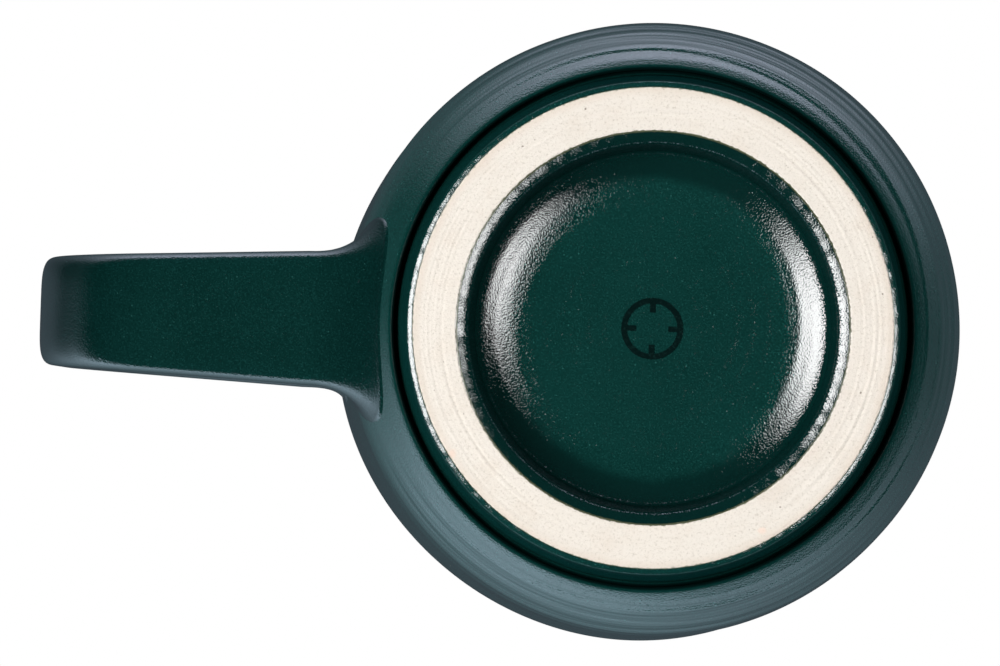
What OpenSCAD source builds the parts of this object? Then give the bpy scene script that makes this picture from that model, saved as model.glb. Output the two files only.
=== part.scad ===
// Stoneware mug: a thrown and trimmed clay cup on a bare foot ring, a pulled strap handle joined
// by two wiped clay roots, and the glaze coats that cover everything but the foot's resting face.
// Millimetres, +Z up. The origin is on the cup's axis in the resting plane; the handle is on +X.

/* [Cup] */
// Height from the resting plane to the top of the lip
cup_h = 96; // [84:1:112]
// Outer radius of the lip
rim_r = 45.3; // [43.5:0.1:47]
// Outer radius where the round shoulder turns into the wall
shoulder_r = 42.1; // [41.5:0.1:43]
// Height at which the round shoulder turns into the wall
shoulder_z = 16; // [15:0.5:20]
// Thickness of the wall just above the shoulder, glaze included
wall_t = 4.4; // [3.6:0.1:5.5]
// Thickness of the lip, glaze included
lip_t = 3.6; // [3:0.1:4.2]
// Radius of the curve between the inside wall and the inside floor
well_r = 13; // [8:0.5:18]
// Thickness of the floor at its middle, glaze included
floor_t = 4.6; // [4.2:0.1:8]

/* [Foot] */
// Outer radius of the bare clay ring that the mug rests on
foot_r = 32.6; // [31.5:0.1:33.2]
// Width of the bare clay ring
foot_w = 6; // [5.4:0.1:6.8]
// Radius of the narrow groove between the foot and the shoulder
groove_r = 35.1; // [34.8:0.1:35.4]
// Height of the bottom of that groove
groove_z = 5.15; // [5.05:0.05:5.2]
// Height of the shoulder's lowest edge, where it turns down into the groove
shoulder_low_z = 4.1; // [3.9:0.1:4.1]
// Depth of the recess inside the foot ring, at its middle
recess_depth = 7.2; // [6.4:0.1:7.8]
// Radius of the flat middle of the recess
recess_flat_r = 16.3; // [14:0.1:16.8]
// Radius of the shallow curve round that flat middle
dish_r = 15; // [13:0.5:16]
// Radius of the tighter curve that ends in the recess's steep side
recess_corner_r = 3.3; // [2.5:0.1:3.8]

/* [Handle] */
// Distance from the cup's axis to the handle's outermost surface
handle_reach = 84.7; // [82:0.1:90]
// Height of the centre line of the lower arm
lower_arm_z = 13.6; // [13:0.2:17]
// Height of the centre line of the upper arm
upper_arm_z = 77; // [70:0.5:78]
// Centre-line radius of the bend between the lower arm and the grip
lower_bend_r = 13; // [10:0.5:16]
// Centre-line radius of the bend between the grip and the upper arm
upper_bend_r = 21; // [14:0.5:23]
// Width of the strap where the roots begin
arm_w = 18.4; // [16:0.2:20]
// Width of the strap along the upright grip, to which both arms taper
grip_w = 15.2; // [13:0.2:17]
// Thickness of the strap, glaze included
strap_t = 8.2; // [7:0.1:9]
// Squareness of the strap's cross-section: 2 is an ellipse, more is closer to a slab
strap_power = 3.2; // [2.4:0.1:4.5]
// Distance out from the wall over which each root spreads
root_len = 5; // [4:0.5:8]
// How far each root spreads to either side where it meets the wall
root_spread = 1.8; // [1:0.2:5]
// How far each root spreads up and down where it meets the wall
root_rise = 3.8; // [2:0.2:3.8]
// How much wider the lower root is along its bottom edge, as a share of its width
root_skirt = 0.4; // [0:0.1:0.5]

/* [Finish] */
// Thickness of the glaze
glaze_t = 0.5; // [0.3:0.05:0.5]
// Outer radius of the ring printed under the mug
stamp_r = 4.2; // [3:0.1:6]

/* [Node] */
// Which part to build

/* [Hidden] */
$fn = 96;
// How far a cutting solid runs past what it cuts
cut = 1;
// Rounding of the foot's two bottom edges, which is also the height where the glaze stops
edge_r = 0.7;
// Steps in each curve of the turned profiles
arc_n = 10;
foot_inner_r = foot_r - foot_w;
// The groove's bottom is a small arc. The shoulder turns down into it over another, which ends at
// this angle round its centre.
groove_bottom_r = 0.3;
groove_lip_r = 0.6;
groove_lip_end = -52;
groove_c = [groove_r - groove_bottom_r, groove_z - groove_bottom_r];
groove_lip_c = [groove_r + groove_lip_r, shoulder_low_z + groove_lip_r];
shoulder_start = groove_lip_c + groove_lip_r * [cos(groove_lip_end), sin(groove_lip_end)];
// The clay of the foot ring and that of the cup meet at this height inside the groove's radius
foot_top = groove_z - 0.8;
// Slopes, in degrees, where the recess's two curves meet and where its steep side starts
dish_end = 29;
side_start = 70;
// The wall is a straight cone from the shoulder to the lip, and wall_angle is its steepness
wall_angle = atan2(cup_h - shoulder_z, rim_r - shoulder_r);
// The shoulder's arc runs from the groove's lip and ends tangent to the wall
shoulder = [shoulder_r, shoulder_z];
shoulder_chord = shoulder - shoulder_start;
shoulder_half_turn = wall_angle - atan2(shoulder_chord[1], shoulder_chord[0]);
shoulder_arc_r = norm(shoulder_chord) / (2 * sin(shoulder_half_turn));
shoulder_c = shoulder + shoulder_arc_r * [-sin(wall_angle), cos(wall_angle)];
lip_c = [wall_r(cup_h - lip_t / 2) - lip_t / 2 / sin(wall_angle), cup_h - lip_t / 2];
floor_z = recess_depth + floor_t;
well_c = [wall_r(floor_z + well_r) - wall_t - well_r, floor_z + well_r];
// The angle of the inside wall, which runs from the well to the lip
inside_angle = atan2(lip_c[1] - well_c[1], lip_c[0] - lip_t / 2 - well_c[0] - well_r);
// The handle's centre line: two level arms, a straight upright grip and a bend at each end of it
grip_x = handle_reach - strap_t / 2;
lower_bend_c = [grip_x - lower_bend_r, lower_arm_z + lower_bend_r];
upper_bend_c = [grip_x - upper_bend_r, upper_arm_z - upper_bend_r];
// Each root keeps one cross-section inside the wall, where the cup's clay is cut out of it
root_bury = 8;
lower_root_x = shoulder_r + root_len;
upper_root_x = wall_r(upper_arm_z) + root_len;
// Width of the stamp's ring and of the four ticks inside it, and how far in the ticks reach
stamp_line = 0.75;
stamp_tick = 2;
root_n = 9;
bend_n = 10;
around_n = 28;

// Outer radius of the wall at height z
function wall_r(z) = shoulder_r + (rim_r - shoulder_r) * (z - shoulder_z) / (cup_h - shoulder_z);

// Outer radius of the shoulder or the wall at height z
function body_r(z) = z > shoulder_z ? wall_r(z)
    : shoulder_c[0]
        + sqrt(pow(shoulder_arc_r, 2) - pow(max(z, shoulder_start[1]) - shoulder_c[1], 2));

// Points round an arc, first and last included
function arc(c, r, from, to, n) =
    [for (i = [0:n]) c + r * [cos(from + (to - from) * i / n), sin(from + (to - from) * i / n)]];

function unit(v) = v / norm(v);
function last(list) = list[len(list) - 1];
function reversed(list) = [for (i = [len(list) - 1:-1:0]) list[i]];

// A line moved to its left by d, with its corners kept at the full distance
function moved_left(line, d) = [
    for (i = [0:len(line) - 1])
        let (
            before = unit(line[max(i, 1)] - line[max(i, 1) - 1]),
            after = unit(line[min(i + 1, len(line) - 1)] - line[min(i, len(line) - 2)]),
            mid = unit(before + after)
        )
        line[i] + d * [-mid[1], mid[0]] / (before * mid)
];

// The glaze surface in three lines, each drawn with the clay on its left:
// under the cup from the axis to the foot, up the outside to the lip, and down the inside.
function recess_line() =
    let (
        dish_c = [recess_flat_r, recess_depth - dish_r],
        corner_c = dish_c + (dish_r - recess_corner_r) * [sin(dish_end), cos(dish_end)]
    )
    concat(
        [[0, recess_depth]],
        arc(dish_c, dish_r, 90, 90 - dish_end, arc_n),
        [for (p = arc(corner_c, recess_corner_r, 90 - dish_end, 90 - side_start, arc_n))
            if (p[0] > dish_c[0] + dish_r * sin(dish_end) + 0.01) p],
        [[foot_inner_r - glaze_t, edge_r]]
    );
function outside_line() = concat(
    [[foot_r + glaze_t, edge_r]],
    arc(groove_c, groove_bottom_r, 162, 0, 6),
    arc(groove_lip_c, groove_lip_r, 180, 360 + groove_lip_end, 8),
    [
        for (p = arc(shoulder_c, shoulder_arc_r, wall_angle - 90 - 2 * shoulder_half_turn,
            wall_angle - 90, arc_n)) if (p[0] > shoulder_start[0] + 0.01) p
    ],
    arc(lip_c, lip_t / 2, wall_angle - 90, 90, arc_n)
);
function inside_line() = concat(
    arc(lip_c, lip_t / 2, 90, inside_angle + 90, arc_n),
    arc(well_c, well_r, inside_angle - 90, -90, arc_n),
    [[0, floor_z]]
);

// The foot's bare bottom face with its two rounded edges
function foot_line() = concat(
    arc([foot_inner_r + edge_r, edge_r], edge_r, 180, 270, 5),
    arc([foot_r - edge_r, edge_r], edge_r, 270, 360, 5)
);

module whole_clay() {
    polygon(concat(
        moved_left(recess_line(), glaze_t),
        foot_line(),
        moved_left(outside_line(), glaze_t),
        moved_left(inside_line(), glaze_t)
    ));
}

// The glaze between one of those lines and the clay
module coat(line) {
    rotate_extrude() polygon(concat(line, reversed(moved_left(line, glaze_t))));
}

// Everything inside the cup's outer clay surface, without its hollow
module clay_plug() {
    skin = moved_left(outside_line(), glaze_t);
    rotate_extrude() polygon(concat([[0, skin[0][1]]], skin, [[0, last(skin)[1]]]));
}

// Share of its full spread that a root has at distance d out from the wall: a quarter ellipse
function spread(d) = 1 - sqrt(1 - pow(1 - max(d / root_len, 0), 2));

// Strap width at distance x out from the cup's axis: both arms taper evenly towards the grip
function strap_w(x) =
    grip_w + (arm_w - grip_w) * (grip_x - x) / (grip_x - lower_root_x);

// One cross-section of the strap round p, a point [x, z] of the centre line. tilt is the line's
// direction in degrees up from +X, and inset brings the surface in from the glaze to the clay.
function section(p, tilt, w, t, inset) = [
    for (i = [0:around_n - 1])
        let (
            a = 360 * (i + 0.5) / around_n,
            across = (w / 2 - inset) * sign(cos(a)) * pow(abs(cos(a)), 2 / strap_power),
            up = (t / 2 - inset) * sign(sin(a)) * pow(abs(sin(a)), 2 / strap_power)
        )
        [p[0] - up * sin(tilt), across, p[1] + up * cos(tilt)]
];

// Outline of a root with share s of its full spread, as points [0, across, up]. The skirt
// widens it towards its bottom edge.
function root_outline(z, x_end, tilt, skirt, s, inset) =
    let (
        w = strap_w(x_end) + 2 * root_spread * s,
        t = strap_t + 2 * root_rise * s
    )
    [
        for (p = section([0, z], tilt, w, t, inset))
            let (low = max(z - p[2], 0) / (t / 2 - inset))
            [0, p[1] * (1 + skirt * s * low), p[2]]
    ];

// Cross-sections of a root, from inside the wall out to x_end where the strap begins. Each one
// is bent to lie along the round wall, and they flatten out towards the strap.
function root_sections(z, x_end, tilt, skirt, inset) = [
    for (i = [0:root_n])
        let (
            out = i == 0 ? -root_bury : root_len * pow((i - 1) / (root_n - 1), 1.5),
            flat = pow(max(out / root_len, 0), 0.7)
        )
        [
            for (p = root_outline(z, x_end, tilt, skirt, spread(out), inset))
                let (wall_x = sqrt(pow(body_r(p[2]), 2) - p[1] * p[1]))
                [(wall_x + out) * (1 - flat) + (x_end - root_len + out) * flat, p[1], p[2]]
        ]
];
function strap_sections(inset) = [
    for (step = concat(
        [[[lower_root_x, lower_arm_z], 0]],
        [for (i = [0:bend_n]) let (a = 90 * i / bend_n)
            [lower_bend_c + lower_bend_r * [sin(a), -cos(a)], a]],
        [for (i = [1:3]) [[grip_x, lower_bend_c[1] + (upper_bend_c[1] - lower_bend_c[1]) * i / 4], 90]],
        [for (i = [0:bend_n]) let (a = 90 * i / bend_n)
            [upper_bend_c + upper_bend_r * [cos(a), sin(a)], 90 + a]],
        [[[upper_root_x, upper_arm_z], 180]]
    )) section(step[0], step[1], strap_w(step[0][0]), strap_t, inset)
];
function lower_root(inset) =
    root_sections(lower_arm_z, lower_root_x, 0, root_skirt, inset);
function upper_root(inset) = root_sections(upper_arm_z, upper_root_x, 180, 0, inset);

// Triangles between ring a and ring b of a stack of cross-sections
function band(a, b) = [
    for (i = [0:around_n - 1])
        let (j = (i + 1) % around_n)
        each [
            [a * around_n + i, a * around_n + j, b * around_n + j],
            [a * around_n + i, b * around_n + j, b * around_n + i]
        ]
];

// The same cross-section as a root has inside the wall, driven straight through the wall
module root_hole(z, x_end, skirt) {
    outline = [for (p = root_outline(z, x_end, 0, skirt, 1, 0)) [p[1], p[2]]];
    translate([shoulder_r - root_bury, 0, 0])
        rotate([90, 0, 90])
            linear_extrude(2 * root_bury) polygon(outline);
}

// A solid skinned over a stack of cross-sections
module skinned(rings) {
    top = (len(rings) - 1) * around_n;
    polyhedron(
        points = [for (ring = rings) each ring],
        faces = concat(
            [for (k = [0:len(rings) - 2]) each band(k, k + 1)],
            [for (i = [1:around_n - 2]) [0, i + 1, i]],
            [for (i = [1:around_n - 2]) [top, top + i, top + i + 1]]
        )
    );
}

// A tube with open ends: its outer cross-sections, then its inner ones back to the start
module tube(outer, inner) {
    rings = concat(outer, reversed(inner));
    polyhedron(
        points = [for (ring = rings) each ring],
        faces = [for (k = [0:len(rings) - 1]) each band(k, (k + 1) % len(rings))]
    );
}

module cup_body() {
    color("#c9b79c") rotate_extrude() difference() {
        whole_clay();
        translate([-cut, -cut]) square([groove_c[0] + cut, foot_top + cut]);
    }
}

module foot_ring() {
    color("#ecdfcb") rotate_extrude() intersection() {
        whole_clay();
        translate([0, -cut]) square([groove_c[0], foot_top + cut]);
    }
}

module handle_strap() {
    color("#bfa98b") skinned(strap_sections(glaze_t));
}

module lower_handle_root() {
    color("#d8c4a4") difference() {
        skinned(lower_root(glaze_t));
        clay_plug();
    }
}

module upper_handle_root() {
    color("#d8c4a4") difference() {
        skinned(reversed(upper_root(glaze_t)));
        clay_plug();
    }
}

module outer_glaze() {
    color("#17584c") difference() {
        coat(outside_line());
        root_hole(lower_arm_z, lower_root_x, root_skirt);
        root_hole(upper_arm_z, upper_root_x, 0);
    }
}

module liner_glaze() {
    color("#1c6a5c") coat(inside_line());
}

module base_glaze() {
    color("#124a40") coat(recess_line());
}

module handle_glaze() {
    color("#1d6153") difference() {
        tube(
            concat(lower_root(0), strap_sections(0), reversed(upper_root(0))),
            concat(lower_root(glaze_t), strap_sections(glaze_t), reversed(upper_root(glaze_t)))
        );
        clay_plug();
    }
}

// A plain ring with four short ticks inside it, printed on the flat middle of the recess
module base_stamp() {
    color("#0b1512") translate([0, 0, recess_depth - 0.08]) linear_extrude(0.08) difference() {
        circle(r = stamp_r);
        difference() {
            circle(r = stamp_r - stamp_line);
            for (a = [0:90:270]) rotate(a)
                translate([stamp_r - stamp_tick, -stamp_line / 2]) square([stamp_tick - 0.2, stamp_line]);
        }
    }
}

cup_body();
foot_ring();
handle_strap();
lower_handle_root();
upper_handle_root();
outer_glaze();
liner_glaze();
base_glaze();
handle_glaze();
base_stamp();
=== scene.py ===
"""Looks for the stoneware mug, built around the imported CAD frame.

The cup's turned surfaces, the foot and the handle are modelled as fine meshes from the same
profile as the CAD part, with throwing lines, a wavering glaze edge and wiped handle roots.
Lengths in the geometry helpers are millimetres, and meshes are written in metres. Lengths in
the materials, the lights and the camera are metres.
"""
import math

import bpy
import numpy as np
from mathutils import Matrix, Vector


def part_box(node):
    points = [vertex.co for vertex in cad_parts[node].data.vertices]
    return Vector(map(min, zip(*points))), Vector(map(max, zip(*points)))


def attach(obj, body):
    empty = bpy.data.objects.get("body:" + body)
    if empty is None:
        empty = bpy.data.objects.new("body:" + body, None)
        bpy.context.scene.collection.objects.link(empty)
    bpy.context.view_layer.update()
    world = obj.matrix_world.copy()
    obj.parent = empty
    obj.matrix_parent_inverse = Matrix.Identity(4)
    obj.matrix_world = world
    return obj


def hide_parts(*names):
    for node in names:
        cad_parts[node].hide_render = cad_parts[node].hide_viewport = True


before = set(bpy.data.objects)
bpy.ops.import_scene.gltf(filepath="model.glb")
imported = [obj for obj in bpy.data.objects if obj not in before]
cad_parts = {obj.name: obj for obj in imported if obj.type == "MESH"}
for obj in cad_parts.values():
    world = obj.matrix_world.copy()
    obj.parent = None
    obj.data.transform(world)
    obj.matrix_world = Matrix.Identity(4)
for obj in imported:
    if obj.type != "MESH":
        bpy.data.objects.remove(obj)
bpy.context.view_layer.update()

MM = 0.001

# ---------------------------------------------------------------- sizes, as in the CAD part (mm)
GLAZE_T = 0.5
CUP_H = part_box("outer_glaze")[1][2] / MM
RIM_R = 45.3
LIP_T = 3.6
SHOULDER_R, SHOULDER_Z = 42.1, 16.0
WALL_T = 4.4
WELL_R = 13.0
FLOOR_TOP_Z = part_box("liner_glaze")[0][2] / MM + GLAZE_T
FOOT_OUT_R = 32.6
FOOT_IN_R = 26.6
GROOVE_R, GROOVE_Z = 35.1, 5.15
GROOVE_BOTTOM_R, GROOVE_LIP_R = 0.3, 0.3
GROOVE_LIP_END = -52  # degrees round the lip's centre, where the shoulder's arc starts
SHOULDER_LOW_Z = 4.1
RECESS_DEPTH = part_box("base_glaze")[1][2] / MM - GLAZE_T
RECESS_FLAT_R, DISH_R = 16.3, 15.0
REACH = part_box("handle_glaze")[1][0] / MM
STRAP_T = 8.2
ARM_W, GRIP_W = 18.4, 15.2
LOWER_ARM_Z, UPPER_ARM_Z = 13.6, 77.0
LOWER_BEND_R, UPPER_BEND_R = 13.0, 21.0
ROOT_LEN = 5.0

# ---------------------------------------------------------------- sizes of the looks only (mm)
COAT_T = 0.42  # a visual coat stops just short of the clay behind it
RECESS_CORNER_R = 1.2
DISH_END = 29  # slope where the recess's dish ends, in degrees
SIDE_SLOPE = 70  # slope of the steep sides above the bevels, in degrees
CLAY_EDGE_R = 0.3
BEVEL_START, BEVEL_END = 11, 28  # slopes of the glazed bevels beside the bare ring, in degrees
INNER_GLAZE_END = (26.68, 0.09)
OUTER_GLAZE_END = (32.52, 0.09)
INNER_BEVEL_RADII = (5.0, 0.8)
OUTER_BEVEL_RADII = (2.5, 0.4)
GROOVE_ARC_START = 162  # degrees round the groove's centre, where the bevel's steep side ends
LEAN_TOWARDS = math.radians(160)  # the wall was thrown a little off the foot's centre
LEAN = 0.3
WOBBLE = 0.16
WIDE_LINE_DEPTH, FINE_LINE_DEPTH = 0.055, 0.012
LINER_WIDE_DEPTH, LINER_FINE_DEPTH = 0.07, 0.02
TURNING_DEPTH, FACE_HOLLOW = 0.02, 0.03  # on the bare ring
BASE_TOOLING_DEPTH = 0.01
EDGE_WANDER = 0.02
LOWER_WIPED_TO, UPPER_WIPED_FROM = (22, 34), (58, 68)  # heights round the roots
WIPED_ANGLE = (0.42, 0.7)  # to each side of the handle, in radians
STRAP_POWER = 5.0  # squareness of the strap's section
ROOT_FOOT_POWER = 2.8  # and of the outline where a root meets the wall
ROOT_INSIDE = (-1.6, -0.5)  # a root's first rings, hidden inside the wall
AROUND, BASE_AROUND, HANDLE_AROUND = 512, 384, 96


# ---------------------------------------------------------------- profile helpers
def arc(c, r, start, end, n):
    """Points on an arc in the (radius, height) plane, angles in degrees."""
    a = np.radians(np.linspace(start, end, n + 1))
    return np.stack([c[0] + r * np.cos(a), c[1] + r * np.sin(a)], 1)


def distances(line):
    """How far along the line each of its points lies."""
    return np.r_[0, np.cumsum(np.linalg.norm(np.diff(line, axis=0), axis=1))]


def resampled(line, step):
    """The same line with points at even spacing."""
    line = np.asarray(line, float)
    keep = np.r_[True, np.linalg.norm(np.diff(line, axis=0), axis=1) > 1e-6]
    line = line[keep]
    s = distances(line)
    n = max(2, int(round(s[-1] / step)) + 1)
    t = np.linspace(0, s[-1], n)
    return np.stack([np.interp(t, s, line[:, 0]), np.interp(t, s, line[:, 1])], 1)


def left_normals(line):
    """Unit normals to the left of a line, smoothed over its corners."""
    d = np.gradient(line, axis=0)
    d /= np.linalg.norm(d, axis=1, keepdims=True) + 1e-12
    return np.stack([-d[:, 1], d[:, 0]], 1)


# ---------------------------------------------------------------- the cup's profile
GROOVE_C = (GROOVE_R - GROOVE_BOTTOM_R, GROOVE_Z - GROOVE_BOTTOM_R)
GROOVE_LIP_C = (GROOVE_R + GROOVE_LIP_R, SHOULDER_LOW_Z + GROOVE_LIP_R)
START_R = GROOVE_LIP_C[0] + GROOVE_LIP_R * math.cos(math.radians(GROOVE_LIP_END))
START_Z = GROOVE_LIP_C[1] + GROOVE_LIP_R * math.sin(math.radians(GROOVE_LIP_END))
FOOT_TOP_Z = GROOVE_Z - 0.8  # hidden behind the glaze
WALL_ANGLE = math.atan2(CUP_H - SHOULDER_Z, RIM_R - SHOULDER_R)
CHORD = (SHOULDER_R - START_R, SHOULDER_Z - START_Z)
HALF_TURN = WALL_ANGLE - math.atan2(CHORD[1], CHORD[0])
SHOULDER_ARC_R = math.hypot(*CHORD) / (2 * math.sin(HALF_TURN))
SHOULDER_C = (
    SHOULDER_R - SHOULDER_ARC_R * math.sin(WALL_ANGLE),
    SHOULDER_Z + SHOULDER_ARC_R * math.cos(WALL_ANGLE),
)


def wall_r(z):
    """Outer radius of the straight wall at height z."""
    return SHOULDER_R + (RIM_R - SHOULDER_R) * (z - SHOULDER_Z) / (CUP_H - SHOULDER_Z)


def body_r(z):
    """Outer radius of the shoulder or wall at height z."""
    z = np.asarray(z, float)
    low = SHOULDER_C[0] + np.sqrt(
        np.maximum(SHOULDER_ARC_R**2 - (np.maximum(z, START_Z) - SHOULDER_C[1]) ** 2, 0)
    )
    return np.where(z > SHOULDER_Z, wall_r(z), low)


LIP_C = (wall_r(CUP_H - LIP_T / 2) - LIP_T / 2 / math.sin(WALL_ANGLE), CUP_H - LIP_T / 2)
WELL_C = (wall_r(FLOOR_TOP_Z + WELL_R) - WALL_T - WELL_R, FLOOR_TOP_Z + WELL_R)


# ---------------------------------------------------------------- smooth noise made of waves
def wave_noise(n, freq, around, seed):
    """A seeded sum of n waves of two coordinates: s in mm and the angle round the axis.

    freq is the (lowest, highest) number of waves per mm along s, and around is the largest
    whole number of waves round the axis. The result has a standard deviation near 1.
    """
    r = np.random.default_rng(seed)
    f = np.exp(r.uniform(math.log(freq[0]), math.log(freq[1]), n))
    m = r.integers(-around, around + 1, n)
    bend = r.uniform(0, 1.2, n)
    k = r.integers(1, 4, n)
    p = r.uniform(0, 2 * math.pi, (3, n))

    def value(s, theta):
        out = np.zeros(np.broadcast(s, theta).shape)
        for i in range(n):
            out += np.sin(
                2 * math.pi * f[i] * s
                + m[i] * theta
                + bend[i] * np.sin(k[i] * theta + p[1, i])
                + p[0, i]
            ) * (0.6 + 0.8 * (0.5 + 0.5 * np.sin(k[i] * theta + p[2, i])))
        return out * math.sqrt(2 / n)

    return value


def bump(x, centre, half):
    """A smooth hump: 1 at the centre and 0 from half away."""
    u = np.clip(np.abs(x - centre) / half, 0, 1)
    return (1 - u * u) ** 2


def ramp(x, a, b):
    """A smooth step from 0 at a to 1 at b."""
    u = np.clip((x - a) / (b - a), 0, 1)
    return u * u * (3 - 2 * u)


# ---------------------------------------------------------------- mesh helpers
def mesh_object(name, verts, faces):
    """A smooth-shaded piece on the mug's body, from points in millimetres."""
    mesh = bpy.data.meshes.new(name)
    mesh.from_pydata((np.asarray(verts) * MM).tolist(), [], faces)
    mesh.update()
    mesh.polygons.foreach_set("use_smooth", [True] * len(mesh.polygons))
    obj = bpy.data.objects.new(name, mesh)
    bpy.context.collection.objects.link(obj)
    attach(obj, "root")
    return obj


def band_faces(a, b, n):
    """Quads between two rings of n points that start at vertices a and b."""
    i = np.arange(n)
    j = (i + 1) % n
    return np.stack([a + i, a + j, b + j, b + i], 1)


def skin(name, rings, ends):
    """A mesh over a stack of rings (k, n, 3). ends is 'loop' for a closed tube wall, or 'poles'
    when the first and last rings shrink to one point each."""
    k, n, _ = rings.shape
    if ends == "loop":
        bands = [band_faces(r * n, ((r + 1) % k) * n, n) for r in range(k)]
        return mesh_object(name, rings.reshape(-1, 3), np.concatenate(bands).tolist())
    verts = np.concatenate([rings[1:-1].reshape(-1, 3), rings[0, :1], rings[-1, :1]])
    bands = [band_faces(r * n, (r + 1) * n, n) for r in range(k - 3)]
    faces = np.concatenate(bands).tolist()
    first, last = (k - 2) * n, (k - 2) * n + 1
    for i in range(n):
        j = (i + 1) % n
        faces.append([first, j, i])
        faces.append([last, (k - 3) * n + i, (k - 3) * n + j])
    return mesh_object(name, verts, faces)


def angles_round(around):
    """That many angles round the axis, as one row."""
    return np.linspace(0, 2 * math.pi, around, endpoint=False)[None, :]


def lathe(line, normal, out, theta):
    """Rings of points round the axis: the line, moved out along its normal."""
    r = line[:, :1] + normal[:, :1] * out
    z = line[:, 1:] + normal[:, 1:] * out
    return np.stack([r * np.cos(theta), r * np.sin(theta), z], 2)


def turned_face(line, shape, theta):
    """A surface of revolution. line runs with the body on its left, and shape(r, z, s, theta)
    gives in mm how far the surface stands out along its normal."""
    out = shape(line[:, :1], line[:, 1:], distances(line)[:, None], theta)
    return lathe(line, -left_normals(line), out, theta)


def turned_coat(name, seen, shape, axis_end=None, around=AROUND):
    """A coat of glaze of even thickness: its seen face takes the shape, and its plain inner face
    lies against the clay with fewer points, closer together near the foot. axis_end says which
    end of seen is on the axis, if one is."""
    theta = angles_round(around)
    face = turned_face(seen, shape, theta)
    if axis_end:
        hidden = resampled(seen, 2.2)
    else:
        low = seen[:, 1] < START_Z + 2
        hidden = np.concatenate([resampled(seen[low], 0.4), resampled(seen[~low], 2.2)])
    hidden = (hidden + left_normals(hidden) * COAT_T)[::-1]
    if axis_end:
        hidden[0 if axis_end == "last" else -1, 0] = 0
    plain = lathe(hidden, 0 * hidden, 0 * theta, theta)
    if axis_end == "last":
        return skin(name, np.concatenate([plain, face]), "poles")
    return skin(name, np.concatenate([face, plain]), "poles" if axis_end else "loop")


# ---------------------------------------------------------------- the thrown and turned surfaces
throwing_wide = wave_noise(14, (0.16, 0.5), 2, 11)
throwing_fine = wave_noise(22, (0.5, 1.4), 9, 12)
clay_wobble = wave_noise(6, (0.004, 0.02), 3, 13)
liner_wide = wave_noise(14, (0.1, 0.3), 2, 21)
liner_fine = wave_noise(18, (0.4, 1.0), 4, 22)
tooling = wave_noise(20, (0.6, 1.8), 4, 31)
outer_edge_wander = wave_noise(26, (0.001, 0.002), 110, 41)
inner_edge_wander = wave_noise(26, (0.001, 0.002), 90, 42)


def off_handle(theta, z):
    """0 beside the handle's roots, where the wall was wiped smooth, and 1 elsewhere."""
    side = np.abs((theta + math.pi) % (2 * math.pi) - math.pi)
    near = 1 - ramp(side, *WIPED_ANGLE)
    at_root = np.maximum(1 - ramp(z, *LOWER_WIPED_TO), ramp(z, *UPPER_WIPED_FROM))
    return 1 - near * at_root


def bevel(end, way, radii):
    """A glazed edge beside the bare ring: a gentle slope away from the ring, then a tight turn
    into the steep side, with those two radii. It starts at end, and way is 1 outwards and -1
    inwards."""
    def rolled(start, r, low, high, n):
        t = np.radians(np.linspace(low, high, n + 1))
        across = r * (np.sin(t) - np.sin(t[0]))
        rise = r * (np.cos(t[0]) - np.cos(t))
        return np.stack([start[0] + way * across, start[1] + rise], 1)

    gentle = rolled(end, radii[0], BEVEL_START, BEVEL_END, 8)
    tight = rolled(gentle[-1], radii[1], BEVEL_END, SIDE_SLOPE, 10)
    return np.concatenate([gentle, tight[1:]])


def outer_coat():
    """The outside from the bare ring's edge, over the groove, the shoulder and the wall, to the
    top of the lip."""
    wall_degrees = math.degrees(WALL_ANGLE)
    shoulder_start = math.degrees(WALL_ANGLE - 2 * HALF_TURN) - 90
    seen = np.concatenate([
        bevel(OUTER_GLAZE_END, 1, OUTER_BEVEL_RADII),
        arc(GROOVE_C, GROOVE_BOTTOM_R, GROOVE_ARC_START, 0, 8),
        arc(GROOVE_LIP_C, GROOVE_LIP_R, 180, 360 + GROOVE_LIP_END, 8),
        arc(SHOULDER_C, SHOULDER_ARC_R, shoulder_start, wall_degrees - 90, 40)[1:],
        arc(LIP_C, LIP_T / 2, wall_degrees - 90, 118, 22),
    ])
    low = seen[:, 1] < START_Z + 9
    seen = np.concatenate([resampled(seen[low], 0.12), resampled(seen[~low], 0.5)])

    def shape(r, z, s, theta):
        on_shoulder = ramp(r, START_R + 0.3, START_R + 3.5)
        below_lip = 1 - ramp(z, CUP_H - 7, CUP_H - 3)
        depth = 1 - 0.6 * ramp(z, 14, 30)
        lines = depth * (WIDE_LINE_DEPTH * throwing_wide(s, theta)
                         + FINE_LINE_DEPTH * throwing_fine(s, theta))
        out = lines * on_shoulder * below_lip * (0.15 + 0.85 * off_handle(theta, z))
        out = out + WOBBLE * clay_wobble(s, theta) * ramp(z, 10, 40)
        out = out + LEAN * np.cos(theta - LEAN_TOWARDS) * ramp(r, START_R, START_R + 3)
        return out + EDGE_WANDER * outer_edge_wander(s, theta) * (1 - ramp(s, 0.6, 1.2))

    coat = turned_coat("outer_coat", seen, shape)
    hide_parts("outer_glaze")
    return coat


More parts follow.
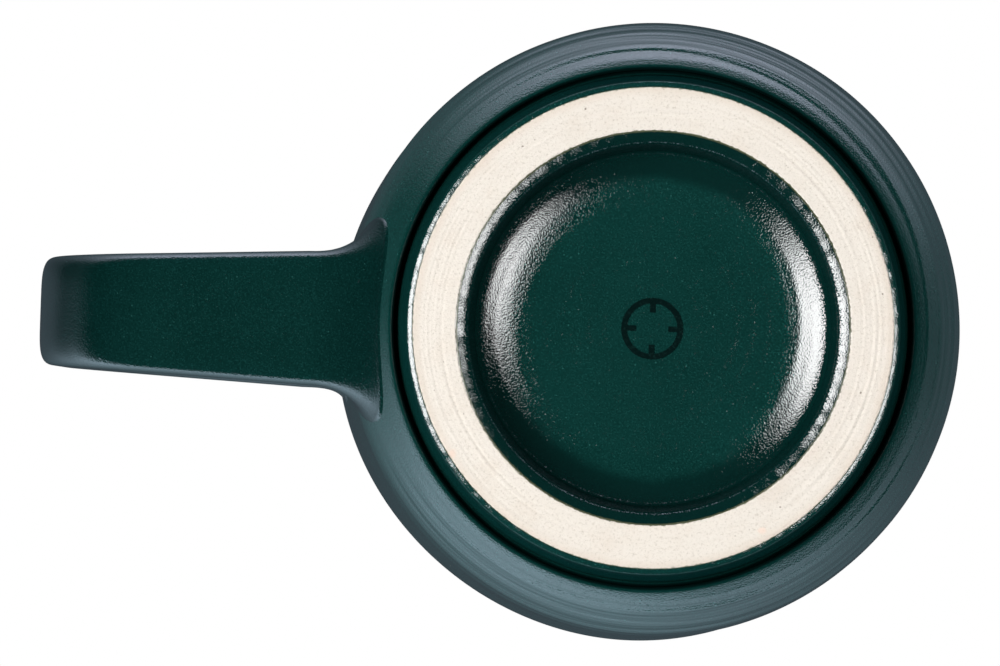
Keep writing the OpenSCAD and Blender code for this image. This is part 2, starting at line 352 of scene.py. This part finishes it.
def liner_coat():
    """The inside from the top of the lip to the middle of the floor."""
    inside_angle = math.degrees(math.atan2(
        LIP_C[1] - WELL_C[1], LIP_C[0] - LIP_T / 2 - WELL_C[0] - WELL_R))
    seen = resampled(np.concatenate([
        arc(LIP_C, LIP_T / 2 - 0.04, 70, inside_angle + 90, 20),
        arc(WELL_C, WELL_R, inside_angle - 90, -90, 24),
        [[0, FLOOR_TOP_Z]],
    ]), 0.5)

    def shape(r, z, s, theta):
        inside = 1 - ramp(z, CUP_H - 9, CUP_H - 4)
        lines = (LINER_WIDE_DEPTH * liner_wide(s, theta)
                 + LINER_FINE_DEPTH * liner_fine(s, theta))
        return lines * inside * ramp(r, 0, 6)

    coat = turned_coat("liner_coat", seen, shape, axis_end="last")
    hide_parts("liner_glaze")
    return coat


def recess_line():
    """The glazed face under the floor: flat in the middle, a shallow dish round it, a tight
    corner into the steep side, and the bevel that ends beside the bare ring."""
    start = math.radians(DISH_END)
    dish_c = (RECESS_FLAT_R, RECESS_DEPTH - DISH_R)
    corner_c = (dish_c[0] + (DISH_R - RECESS_CORNER_R) * math.sin(start),
                dish_c[1] + (DISH_R - RECESS_CORNER_R) * math.cos(start))
    return np.concatenate([
        [[0, RECESS_DEPTH]],
        arc(dish_c, DISH_R, 90, 90 - DISH_END, 24),
        arc(corner_c, RECESS_CORNER_R, 90 - DISH_END, 90 - SIDE_SLOPE, 12)[1:],
        bevel(INNER_GLAZE_END, -1, INNER_BEVEL_RADII)[::-1],
    ])


def base_coat():
    """The patch of glaze inside the foot ring. Its last two points tuck its edge into the clay."""
    seen = np.concatenate([
        resampled(recess_line(), 0.16),
        [[INNER_GLAZE_END[0] + 0.03, 0.2], [INNER_GLAZE_END[0] + 0.06, 0.4]],
    ])

    def shape(r, z, s, theta):
        at_edge = ramp(r, FOOT_IN_R - 1.8, FOOT_IN_R - 1.2)
        slow = BASE_TOOLING_DEPTH * tooling(0.3 * s, theta) * ramp(r, 1, 5)
        return slow * (1 - at_edge) + EDGE_WANDER * inner_edge_wander(s, theta) * at_edge

    coat = turned_coat("base_coat", seen, shape, axis_end="first", around=BASE_AROUND)
    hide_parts("base_glaze")
    return coat


def bare_foot():
    """The unglazed ring: its turned face and rounded edges show, and its sides run up under the
    two coats of glaze."""
    under_recess = resampled(recess_line(), 0.6)
    under_recess = under_recess + left_normals(under_recess) * (COAT_T + 0.03)
    under_recess[:, 0] = np.minimum(under_recess[:, 0], FOOT_IN_R)
    inner_side = under_recess[(under_recess[:, 1] < FOOT_TOP_Z) & (under_recess[:, 1] > 0.9)]
    inner_edge, outer_edge = FOOT_IN_R + CLAY_EDGE_R, FOOT_OUT_R - CLAY_EDGE_R
    face = np.concatenate([
        arc((inner_edge, CLAY_EDGE_R), CLAY_EDGE_R, 180, 270, 8),
        resampled([[inner_edge, 0], [outer_edge, 0]], 0.14)[1:-1],
        arc((outer_edge, CLAY_EDGE_R), CLAY_EDGE_R, 270, 360, 8),
    ])
    top = resampled([[33.0, FOOT_TOP_Z], [24.6, FOOT_TOP_Z]], 2.0)
    line = np.concatenate([inner_side, face, [[FOOT_OUT_R + 1.0, FOOT_TOP_Z - 0.1]], top])

    def shape(r, z, s, theta):
        on_face = bump(r, (FOOT_IN_R + FOOT_OUT_R) / 2, 3.4) * (z < 0.6)
        return (TURNING_DEPTH * tooling(s, theta) - FACE_HOLLOW) * on_face

    ring = skin("bare_foot", turned_face(line, shape, angles_round(AROUND)), "loop")
    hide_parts("foot_ring")
    return ring


# ---------------------------------------------------------------- the handle
GRIP_X = REACH - STRAP_T / 2
LOWER_BEND_C = (GRIP_X - LOWER_BEND_R, LOWER_ARM_Z + LOWER_BEND_R)
UPPER_BEND_C = (GRIP_X - UPPER_BEND_R, UPPER_ARM_Z - UPPER_BEND_R)
LOWER_END_X = SHOULDER_R + ROOT_LEN
UPPER_END_X = wall_r(UPPER_ARM_Z) + ROOT_LEN


def oval(power):
    """A rounded rectangle of half-size 1: across and up for each point round it."""
    a = 2 * np.pi * (np.arange(HANDLE_AROUND) + 0.5) / HANDLE_AROUND
    c, s = np.cos(a), np.sin(a)
    return np.sign(c) * np.abs(c) ** (2 / power), np.sign(s) * np.abs(s) ** (2 / power)


def strap_w(x):
    """Both arms taper evenly from the roots to the grip."""
    return GRIP_W + (ARM_W - GRIP_W) * (GRIP_X - x) / (GRIP_X - LOWER_END_X)


def strap_ring(x, z, tilt):
    """The strap's section at a point of its centre line. tilt is the line's slope in radians."""
    across, up = oval(STRAP_POWER)
    up = up * STRAP_T / 2
    y = across * strap_w(x) / 2
    return np.stack([x - up * math.sin(tilt), y, z + up * math.cos(tilt)], 1)


def centre_line():
    """Points (x, z, tilt) along the strap between its roots."""
    pts = [(x, LOWER_ARM_Z, 0) for x in np.linspace(LOWER_END_X, LOWER_BEND_C[0], 22)[:-1]]
    for a in np.linspace(0, math.pi / 2, 30):
        pts.append((LOWER_BEND_C[0] + LOWER_BEND_R * math.sin(a),
                    LOWER_BEND_C[1] - LOWER_BEND_R * math.cos(a), a))
    for z in np.linspace(LOWER_BEND_C[1], UPPER_BEND_C[1], 26)[1:-1]:
        pts.append((GRIP_X, z, math.pi / 2))
    for a in np.linspace(0, math.pi / 2, 36):
        pts.append((UPPER_BEND_C[0] + UPPER_BEND_R * math.cos(a),
                    UPPER_BEND_C[1] + UPPER_BEND_R * math.sin(a), math.pi / 2 + a))
    for x in np.linspace(UPPER_BEND_C[0], UPPER_END_X, 8)[1:]:
        pts.append((x, UPPER_ARM_Z, math.pi))
    return pts


def root_rings(arm_z, end_x, tilt, spread, rise_up, rise_down, skirt):
    """Rings of a wiped root from inside the wall out to the strap. They lie along the round wall
    and close in on the strap in a quarter-ellipse fillet. The skirt widens the bottom edge."""
    rings = []
    outs = np.concatenate([ROOT_INSIDE, ROOT_LEN * np.linspace(0, 1, 40) ** 1.8])
    across, up = oval(STRAP_POWER)
    across_foot, up_foot = oval(ROOT_FOOT_POWER)
    up_sign = math.cos(tilt)
    for out in outs:
        left = 1 - min(max(out / ROOT_LEN, 0), 1)
        s = 1 - math.sqrt(1 - left * left)  # 1 at the wall and 0 at the strap
        ay = (1 - s) * across + s * across_foot
        az = ((1 - s) * up + s * up_foot) * up_sign
        y = ay * (strap_w(end_x) / 2 + s**1.6 * spread) * (1 + s * skirt * np.clip(-az, 0, 1))
        z = arm_z + az * (STRAP_T / 2 + s * np.where(az > 0, rise_up, rise_down))
        flat = max(out / ROOT_LEN, 0) ** 0.7  # how far a ring has left the wall's curve
        wall_x = np.sqrt(body_r(z) ** 2 - y**2) - 0.1
        x = (wall_x + out) * (1 - flat) + (end_x - ROOT_LEN + out) * flat
        rings.append(np.stack([x, y, z], 1))
    return rings


def handle():
    """The strap with both its roots, as one coat round the clay."""
    lower = root_rings(LOWER_ARM_Z, LOWER_END_X, 0,
                       spread=3.0, rise_up=3.8, rise_down=4.0, skirt=0.42)
    upper = root_rings(UPPER_ARM_Z, UPPER_END_X, math.pi,
                       spread=2.2, rise_up=3.8, rise_down=3.8, skirt=0.0)[::-1]
    rings = lower[:-1] + [strap_ring(*point) for point in centre_line()] + upper[1:]
    first, last = rings[0].mean(0), rings[-1].mean(0)
    rings = np.array([first + 0 * rings[0]] + rings + [last + 0 * rings[0]])
    piece = skin("handle_coat", rings, "poles")
    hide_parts("handle_glaze")
    return piece


# ---------------------------------------------------------------- node helpers
class Nodes:
    """Short calls for building one node tree."""

    def __init__(self, tree):
        self.tree = tree
        self.shader = tree.nodes.get("Principled BSDF")

    def add(self, kind, **values):
        """A new node, with its settings and its sockets' values given by name."""
        node = self.tree.nodes.new(kind)
        for key, value in values.items():
            if hasattr(node, key):
                setattr(node, key, value)
            else:
                node.inputs[key.replace("_", " ")].default_value = value
        return node

    def join(self, out, into):
        self.tree.links.new(out, into)

    def shade(self, socket, out):
        """Drive one of the shader's sockets."""
        self.join(out, self.shader.inputs[socket])

    def position(self):
        return self.add("ShaderNodeTexCoord").outputs["Object"]

    def split(self, vector):
        parts = self.add("ShaderNodeSeparateXYZ")
        self.join(vector, parts.inputs[0])
        return parts.outputs

    def from_axis(self, x, y):
        """The distance from the mug's axis."""
        squares = self.math("ADD", self.math("MULTIPLY", x, x), self.math("MULTIPLY", y, y))
        return self.math("SQRT", squares)

    def noise(self, vector, scale, detail=2.0, rough=0.5):
        node = self.add("ShaderNodeTexNoise", Scale=scale, Detail=detail, Roughness=rough)
        self.join(vector, node.inputs["Vector"])
        return node.outputs["Fac"]

    def dots(self, vector, scale, core, rim):
        """Round dots, one to a cell: 1 within core of a cell's point and 0 beyond rim."""
        cells = self.add("ShaderNodeTexVoronoi", Scale=scale)
        self.join(vector, cells.inputs["Vector"])
        return self.spread(cells.outputs["Distance"], core, rim, 1.0, 0.0)

    def math(self, operation, a, b=None, clamp=False):
        node = self.add("ShaderNodeMath", operation=operation, use_clamp=clamp)
        for slot, value in enumerate((a, b)):
            if value is None:
                continue
            if isinstance(value, (int, float)):
                node.inputs[slot].default_value = value
            else:
                self.join(value, node.inputs[slot])
        return node.outputs[0]

    def spread(self, value, low, high, to_low=0.0, to_high=1.0):
        """A smooth step from to_low at low to to_high at high."""
        node = self.add("ShaderNodeMapRange", interpolation_type="SMOOTHSTEP")
        self.join(value, node.inputs["Value"])
        for key, number in (("From Min", low), ("From Max", high), ("To Min", to_low),
                            ("To Max", to_high)):
            node.inputs[key].default_value = number
        return node.outputs["Result"]

    def between(self, value, rise, fall):
        """1 inside a range and 0 outside it: up across rise and down across fall."""
        return self.math("MULTIPLY", self.spread(value, *rise),
                         self.spread(value, *fall, 1.0, 0.0))

    def mix(self, factor, a, b):
        """Colour a where factor is 0 and b where it is 1."""
        node = self.add("ShaderNodeMix", data_type="RGBA")
        for value, socket in ((factor, node.inputs[0]), (a, node.inputs[6]), (b, node.inputs[7])):
            if isinstance(value, (int, float)):
                socket.default_value = value
            elif isinstance(value, tuple):
                socket.default_value = (*value, 1.0)
            else:
                self.join(value, socket)
        return node.outputs[2]

    def bump(self, height, distance, normal=None):
        node = self.add("ShaderNodeBump", Distance=distance, Strength=1.0)
        self.join(height, node.inputs["Height"])
        if normal is not None:
            self.join(normal, node.inputs["Normal"])
        return node.outputs["Normal"]

    def streaks(self, position, across_scale, round_scale, detail):
        """Noise drawn out into long bands round the mug's axis: it varies quickly with the
        distance from the axis and the height, and slowly round it."""
        x, y, z = self.split(position)
        across = self.math("ADD", z, self.from_axis(x, y))
        drawn = self.add("ShaderNodeCombineXYZ")
        self.join(self.math("MULTIPLY", x, round_scale), drawn.inputs[0])
        self.join(self.math("MULTIPLY", y, round_scale), drawn.inputs[1])
        self.join(self.math("MULTIPLY", across, across_scale), drawn.inputs[2])
        return self.noise(drawn.outputs[0], 1.0, detail)


def new_material(name):
    """A new material, and short calls for its node tree."""
    material = bpy.data.materials.new(name)
    material.use_nodes = True
    return material, Nodes(material.node_tree)


# ---------------------------------------------------------------- the glaze
GLAZE = (0.0026, 0.0292, 0.0250)
GLAZE_DEEP = (0.0020, 0.0245, 0.0208)
GLAZE_GRAIN = (0.0056, 0.0450, 0.0395)
GLAZE_DARK_GRAIN = (0.0013, 0.0170, 0.0147)
GLAZE_CRYSTAL = (0.0300, 0.1300, 0.1150)
# painted shade, used in the recess's dish and in the undercut
GLAZE_SHADOWED = (0.0009, 0.0120, 0.0105)
# painted shadow: near-black colour for the line along the groove
GLAZE_PAINTED_GROOVE_SHADOW = (0.0004, 0.0035, 0.0033)
GLAZE_EDGE = (0.0900, 0.0950, 0.0500)
GLAZE_IOR = 1.75
SHINY, MATT = 0.5, 0.01  # values of the shader's Specular IOR Level

# Radii and heights of the zones on the mug, in metres, each from none to full or full to none
OUTER_EDGE = (0.03275, 0.03260)  # the thin edge of the outside glaze on the foot
BASE_EDGE = (0.02650, 0.02668)  # and of the base glaze
DISH_SHADE = (0.0200, 0.0220)  # painted shade darkens the base glaze outside these
RECESS_SIDE = ((0.0232, 0.0237), (0.0249, 0.0254))
UNDERCUT = ((0.0331, 0.0334), (0.0357, 0.0361))  # between the foot's edge and the shoulder, where shade is painted
UNDERCUT_TOP = (0.0055, 0.0062)
# where the line of painted shadow runs along the groove, and its half-widths
GROOVE_LINE, GROOVE_LINE_HALF = 0.0351, (0.00025, 0.0006)


def glaze_colour(n, at, grain):
    """Clouds of two greens with fine lighter and darker grain and a few pale crystals."""
    colour = n.mix(n.spread(n.noise(at, 90.0, 4.0, 0.6), 0.3, 0.7), GLAZE_DEEP, GLAZE)
    colour = n.mix(n.spread(grain, 0.5, 0.72, 0.0, 0.85), colour, GLAZE_GRAIN)
    colour = n.mix(n.spread(grain, 0.28, 0.5, 0.75, 0.0), colour, GLAZE_DARK_GRAIN)
    crystals = n.math("MULTIPLY", n.dots(at, 1500.0, 0.10, 0.20),
                      n.spread(n.noise(at, 1100.0, 1.0), 0.58, 0.66))
    return n.mix(n.math("MULTIPLY", crystals, 0.5), colour, GLAZE_CRYSTAL)


def shade_dish(n, at, radius, grain, colour):
    """Paint shade on the recess outside its flat middle, and make its steep side matt with a
    grainy limit."""
    wander = n.math("MULTIPLY", n.noise(at, 260.0, 3.0), 0.0012)
    # painted shade: the glaze darkens towards GLAZE_SHADOWED outside the flat middle
    outside = n.spread(n.math("ADD", radius, wander), *DISH_SHADE, 0.0, 0.82)
    grainy = n.math("MULTIPLY", n.math("SUBTRACT", grain, 0.5), 0.0036)
    side = n.between(n.math("ADD", radius, grainy), *RECESS_SIDE)
    n.shade("Specular IOR Level", n.spread(side, 0.0, 1.0, SHINY, MATT))
    return n.mix(outside, colour, GLAZE_SHADOWED)


def shade_undercut(n, radius, height, colour):
    """Paint shade on the narrow zone between the foot's edge and the shoulder and make it matt,
    with a black line of painted shadow along the groove."""
    low = n.spread(height, *UNDERCUT_TOP, 1.0, 0.0)
    within = n.math("MULTIPLY", low, n.between(radius, *UNDERCUT))
    # painted shade darkens the undercut
    colour = n.mix(n.math("MULTIPLY", within, 0.5), colour, GLAZE_SHADOWED)
    off_line = n.math("ABSOLUTE", n.math("SUBTRACT", radius, GROOVE_LINE))
    # painted shadow: a near-black line along the groove
    line = n.math("MULTIPLY", low, n.spread(off_line, *GROOVE_LINE_HALF, 0.95, 0.0))
    n.shade("Specular IOR Level", n.spread(within, 0.0, 1.0, SHINY, MATT))
    return n.mix(line, colour, GLAZE_PAINTED_GROOVE_SHADOW)


def glaze_material(name, edge=None, undercut=False, dish=False):
    """Dark green satin glaze: fine crystals and orange peel, pinholes, and an olive edge where it
    ends on the foot. undercut and dish say which zones of painted shade the piece has."""
    material, n = new_material(name)
    at = n.position()
    x, y, height = n.split(at)
    radius = n.from_axis(x, y)
    grain = n.noise(at, 4600.0, 1.0, 0.6)
    colour = glaze_colour(n, at, grain)
    if dish:
        colour = shade_dish(n, at, radius, grain, colour)
    if edge:
        wander = n.math("MULTIPLY", n.noise(at, 1400.0, 3.0), 0.0002)
        thin = n.spread(n.math("ADD", radius, wander), *edge, 0.0, 0.7)
        colour = n.mix(thin, colour, GLAZE_EDGE)
    if undercut:
        colour = shade_undercut(n, radius, height, colour)
    n.shade("Base Color", colour)
    n.shade("Roughness", n.spread(n.noise(at, 900.0, 3.0, 0.6), 0.25, 0.75, 0.045, 0.09))
    n.shader.inputs["IOR"].default_value = GLAZE_IOR
    pinholes = n.math("MULTIPLY", n.dots(at, 320.0, 0.035, 0.075),
                      n.spread(n.noise(at, 130.0, 1.0), 0.6, 0.66))
    peel = n.bump(n.noise(at, 4200.0, 2.0, 0.5), 0.000044)
    n.shade("Normal", n.bump(n.math("SUBTRACT", 1.0, pinholes), 0.00008, normal=peel))
    return material


# ---------------------------------------------------------------- the clay and the stamp
CLAY = (0.600, 0.546, 0.478)
CLAY_WARM = (0.550, 0.468, 0.388)
CLAY_PALE = (0.660, 0.612, 0.550)
CLAY_GRAIN = (0.360, 0.310, 0.250)
CLAY_SPECK = (0.110, 0.075, 0.045)
CLAY_STAIN = (0.760, 0.500, 0.380)
STAMP_STAIN = (0.0010, 0.0062, 0.0058)

# Radii on the resting face, in metres
TOASTED_RIM = (0.0311, 0.0324)
CREPT_OUTSIDE = (0.03238, 0.03262)
CREPT_INSIDE = (0.02666, 0.02678)


def bare_clay_material(name):
    """Unglazed buff stoneware: sandy grain, faint turning lines, iron specks, a few toasted
    stains, a warmer outer rim, and glaze that crept over both edges."""
    material, n = new_material(name)
    at = n.position()
    x, y, _ = n.split(at)
    radius = n.from_axis(x, y)
    turning = n.streaks(at, 1500.0, 60.0, 4.0)
    sand = n.noise(at, 3600.0, 2.0, 0.8)
    colour = n.mix(n.spread(turning, 0.2, 0.8, 0.3, 0.5), CLAY, CLAY_PALE)
    blotch = n.noise(at, 150.0, 4.0, 0.6)
    colour = n.mix(n.spread(blotch, 0.45, 0.8, 0.0, 0.6), colour, CLAY_WARM)
    colour = n.mix(n.spread(sand, 0.45, 0.75, 0.0, 0.6), colour, CLAY_PALE)
    grit = n.noise(at, 2600.0, 3.0, 0.9)
    colour = n.mix(n.spread(grit, 0.5, 0.72, 0.0, 0.7), colour, CLAY_GRAIN)
    colour = n.mix(n.spread(radius, *TOASTED_RIM, 0.0, 0.55), colour, CLAY_WARM)
    stain = n.spread(n.noise(at, 210.0, 2.0), 0.70, 0.76, 0.0, 0.35)
    colour = n.mix(stain, colour, CLAY_STAIN)
    specks = n.math("MULTIPLY", n.dots(at, 700.0, 0.07, 0.14),
                    n.spread(n.noise(at, 900.0, 1.0), 0.56, 0.64))
    colour = n.mix(n.math("MULTIPLY", specks, 0.8), colour, CLAY_SPECK)
    ragged = n.math("MULTIPLY", n.math("SUBTRACT", n.noise(at, 1700.0, 3.0, 0.6), 0.5), 0.0007)
    crept = n.math("ADD", radius, ragged)
    over = n.math("ADD", n.spread(crept, *CREPT_OUTSIDE),
                  n.spread(crept, *CREPT_INSIDE, 1.0, 0.0), clamp=True)
    n.shade("Base Color", n.mix(n.math("MULTIPLY", over, 0.9), colour, GLAZE_EDGE))
    n.shade("Roughness", n.spread(sand, 0.2, 0.8, 0.72, 0.95))
    n.shade("Normal", n.bump(turning, 0.00004, normal=n.bump(sand, 0.00006)))
    return material


def stamp_material(name):
    """Dark ceramic stain under a thin film of glaze, a little worn through."""
    material, n = new_material(name)
    worn = n.noise(n.position(), 2200.0, 3.0, 0.7)
    n.shade("Base Color", n.mix(n.spread(worn, 0.55, 0.75, 0.0, 0.6), STAMP_STAIN, GLAZE_DEEP))
    n.shade("Roughness", n.spread(worn, 0.3, 0.7, 0.10, 0.18))
    n.shader.inputs["Specular IOR Level"].default_value = 0.3
    n.shade("Normal", n.bump(worn, 0.00001))
    return material


# ---------------------------------------------------------------- build
def paint(obj, material):
    obj.data.materials.clear()
    obj.data.materials.append(material)


def give(piece, material):
    paint(piece, material)


outer = outer_coat()
liner = liner_coat()
base = base_coat()
foot = bare_foot()
strap = handle()

give(outer, glaze_material("glaze_outside", edge=OUTER_EDGE, undercut=True))
give(liner, glaze_material("glaze_inside"))
give(base, glaze_material("glaze_base", edge=BASE_EDGE, dish=True))
give(strap, glaze_material("glaze_handle"))
clay = bare_clay_material("bare_clay")
give(foot, clay)
for node in ("cup_body", "handle_strap", "lower_handle_root", "upper_handle_root"):
    paint(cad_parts[node], clay)
paint(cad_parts["base_stamp"], stamp_material("stamp_stain"))


# ---------------------------------------------------------------- floor, light and camera
FLOOR_HALF = 3.0
FLOOR_GREY, FLOOR_PALE = (0.80, 0.80, 0.79), (0.84, 0.84, 0.83)

# Softboxes, each as (degrees from straight down, degrees round from +X, distance, size)
HANDLE_SIDE_BOX = (43.5, 0, 1.2, (0.98, 0.66))
HANDLE_FILL_BOX = (15, 180, 1.2, (0.98, 0.66))
FAR_SIDE_BOX = (35, 196, 1.2, (0.62, 0.48))
OVERHEAD_BOX = (172, 235, 1.4, (0.8, 0.8))

# Elevation in degrees and brightness of the studio's surroundings
HORIZON_BAND = (
    (-90, 0.008), (-18, 0.012), (-12, 0.12), (-7, 1.5), (-2, 1.6), (5, 1.15), (11, 0.95),
    (18, 0.72), (25, 0.68), (35, 0.42), (45, 0.28), (55, 0.19), (65, 0.13), (90, 0.05),
)
COOL, VIOLET = (0.78, 1.0, 1.2), (0.94, 1.0, 1.24)
WHITE = (1.0, 1.0, 1.0)

IMAGE_WIDTH = 1000
SENSOR_WIDTH = 36.0
CAMERA_DISTANCE = 0.860
PIXEL = 0.000135  # metres across one pixel in the resting plane
MUG_OFF_CENTRE = (153.4, 5.2)  # where the cup's axis meets that plane: right of and above centre
ROLL = math.radians(1.9)
TILT = math.radians(0.9)


def floor():
    """A pale floor in the resting plane. It shows from above only, so the underside camera
    looks up through it, and it takes the mug's shadow without lighting or shading the mug."""
    size = FLOOR_HALF
    mesh = bpy.data.meshes.new("floor")
    mesh.from_pydata([(-size, -size, 0), (size, -size, 0), (size, size, 0), (-size, size, 0)],
                     [], [(0, 1, 2, 3)])
    obj = bpy.data.objects.new("floor", mesh)
    bpy.context.collection.objects.link(obj)
    material, n = new_material("floor_pale")
    n.shade("Base Color", n.mix(n.noise(n.position(), 30.0, 3.0), FLOOR_GREY, FLOOR_PALE))
    n.shader.inputs["Roughness"].default_value = 0.9
    n.shader.inputs["Specular IOR Level"].default_value = 0.1
    clear = n.add("ShaderNodeBsdfTransparent")
    side = n.add("ShaderNodeMixShader")
    n.join(n.add("ShaderNodeNewGeometry").outputs["Backfacing"], side.inputs[0])
    n.join(n.shader.outputs[0], side.inputs[1])
    n.join(clear.outputs[0], side.inputs[2])
    n.join(side.outputs[0], n.tree.nodes["Material Output"].inputs["Surface"])
    mesh.materials.append(material)
    obj.visible_diffuse = False
    obj.visible_glossy = False
    obj.visible_transmission = False
    obj.visible_shadow = False


def placed(obj, right, up, back, place):
    """Put a light or camera at place, facing away from back."""
    obj.matrix_world = Matrix((
        (right.x, up.x, back.x, place.x),
        (right.y, up.y, back.y, place.y),
        (right.z, up.z, back.z, place.z),
        (0, 0, 0, 1),
    ))


def softbox(name, box, radiance):
    """A soft oval light that faces the mug. radiance is how bright its surface looks."""
    polar, azimuth, distance, size = box
    p, a = math.radians(polar), math.radians(azimuth)
    way = Vector((math.sin(p) * math.cos(a), math.sin(p) * math.sin(a), -math.cos(p)))
    data = bpy.data.lights.new(name, "AREA")
    data.shape = "ELLIPSE"
    data.size, data.size_y = size
    data.energy = radiance * math.pi * (math.pi / 4 * size[0] * size[1])
    obj = bpy.data.objects.new(name, data)
    bpy.context.collection.objects.link(obj)
    side = Vector((0, 0, 1)).cross(way).normalized()
    placed(obj, side, way.cross(side), way, way * distance)
    return obj


def only_light(light, piece, state):
    """Limit a light to one piece (INCLUDE), or to everything but that piece (EXCLUDE)."""
    group = bpy.data.collections.new(light.name + "_receivers")
    group.objects.link(piece)
    group.collection_objects[0].light_linking.link_state = state
    light.light_linking.receiver_collection = group


def studio_lights():
    """Two softboxes below the mug give the two bright bands in its recess. Each has a twin that
    adds to the reflection only. The strap is left out of three of them and has a fill of its own,
    and a soft light stands overhead."""
    side = softbox("softbox_handle_side", HANDLE_SIDE_BOX, 13.0)
    only_light(side, strap, "EXCLUDE")
    side_glint = softbox("softbox_handle_side_glint", HANDLE_SIDE_BOX, 14.0)
    side_glint.visible_diffuse = False
    only_light(side_glint, strap, "EXCLUDE")
    handle_fill = softbox("softbox_handle_fill", HANDLE_FILL_BOX, 6.6)
    handle_fill.visible_glossy = False
    only_light(handle_fill, strap, "INCLUDE")
    softbox("softbox_far_side", FAR_SIDE_BOX, 11.0)
    far_glint = softbox("softbox_far_side_glint", FAR_SIDE_BOX, 12.0)
    far_glint.visible_diffuse = False
    only_light(far_glint, strap, "EXCLUDE")
    overhead = softbox("softbox_overhead", OVERHEAD_BOX, 8.0)
    overhead.visible_glossy = False


def horizon_band(n, scale, tint):
    """A colour ramp over the sine of the elevation, from straight down to straight up."""
    band = n.add("ShaderNodeValToRGB")
    n.join(scale, band.inputs[0])
    stops = band.color_ramp.elements
    stops[0].position, stops[1].position = 0.0, 1.0
    for index, (elevation, level) in enumerate(HORIZON_BAND):
        if index == 0:
            stop = stops[0]
        elif index == len(HORIZON_BAND) - 1:
            stop = stops[len(stops) - 1]
        else:
            stop = stops.new(0.5 + 0.5 * math.sin(math.radians(elevation)))
        stop.color = (*(level * part for part in tint), 1)
    return band.outputs[0]


def horizon_strength(n, x, y):
    """How strong the band is in each direction: most towards +Y and -Y, less towards the handle
    and the far side, uneven between them and dimmest where the handle points."""
    across = n.math("SUBTRACT", n.math("MULTIPLY", y, y), n.math("MULTIPLY", x, x))
    corners = n.math("MULTIPLY", n.math("MULTIPLY", x, y), -0.85)
    cubic = n.math("SUBTRACT", n.math("MULTIPLY", n.math("MULTIPLY", y, y), 1.2), 0.85)
    lean = n.math("ADD", n.math("MULTIPLY", x, 0.09), n.math("MULTIPLY", y, cubic))
    amount = n.math("ADD", n.math("MULTIPLY", across, 0.77), 1.04)
    amount = n.math("ADD", amount, n.math("ADD", corners, lean))
    amount = n.math("SUBTRACT", amount, n.spread(x, 0.80, 0.96, 0.0, 0.25))
    return n.math("MAXIMUM", amount, 0.05)


def studio_world():
    """Surroundings: a bright band round the horizon, dark below it and dim overhead. The camera
    itself sees plain white."""
    world = bpy.data.worlds.new("studio")
    bpy.context.scene.world = world
    world.use_nodes = True
    n = Nodes(world.node_tree)
    x, y, z = n.split(n.add("ShaderNodeTexCoord").outputs["Generated"])
    scale = n.math("MULTIPLY", n.math("ADD", z, 1.0), 0.5, clamp=True)
    tinted = n.mix(n.spread(y, 0.2, 1.0), horizon_band(n, scale, COOL),
                   horizon_band(n, scale, VIOLET))
    bright = n.add("ShaderNodeVectorMath", operation="SCALE")
    n.join(tinted, bright.inputs[0])
    n.join(horizon_strength(n, x, y), bright.inputs["Scale"])
    seen = n.add("ShaderNodeLightPath")
    colour = n.mix(seen.outputs["Is Camera Ray"], bright.outputs[0], WHITE)
    n.join(colour, n.tree.nodes["Background"].inputs["Color"])


def camera():
    """Straight below the mug and looking up, rolled and tilted by a degree or two."""
    up = Vector((math.sin(ROLL), math.cos(ROLL), 0))
    ahead = (Vector((0, 0, 1)) * math.cos(TILT) + up * math.sin(TILT)).normalized()
    right = ahead.cross(up).normalized()
    up = right.cross(ahead)
    data = bpy.data.cameras.new("camera")
    data.sensor_width = SENSOR_WIDTH
    data.lens = SENSOR_WIDTH * CAMERA_DISTANCE / (IMAGE_WIDTH * PIXEL)
    data.clip_start, data.clip_end = 0.01, 50
    obj = bpy.data.objects.new("camera", data)
    bpy.context.collection.objects.link(obj)
    aim = -right * MUG_OFF_CENTRE[0] * PIXEL - up * MUG_OFF_CENTRE[1] * PIXEL
    placed(obj, right, up, -ahead, aim - ahead * CAMERA_DISTANCE)
    bpy.context.scene.camera = obj


floor()
studio_lights()
studio_world()
camera()
bpy.context.scene.view_settings.view_transform = "Standard"
bpy.context.scene.view_settings.look = "None"
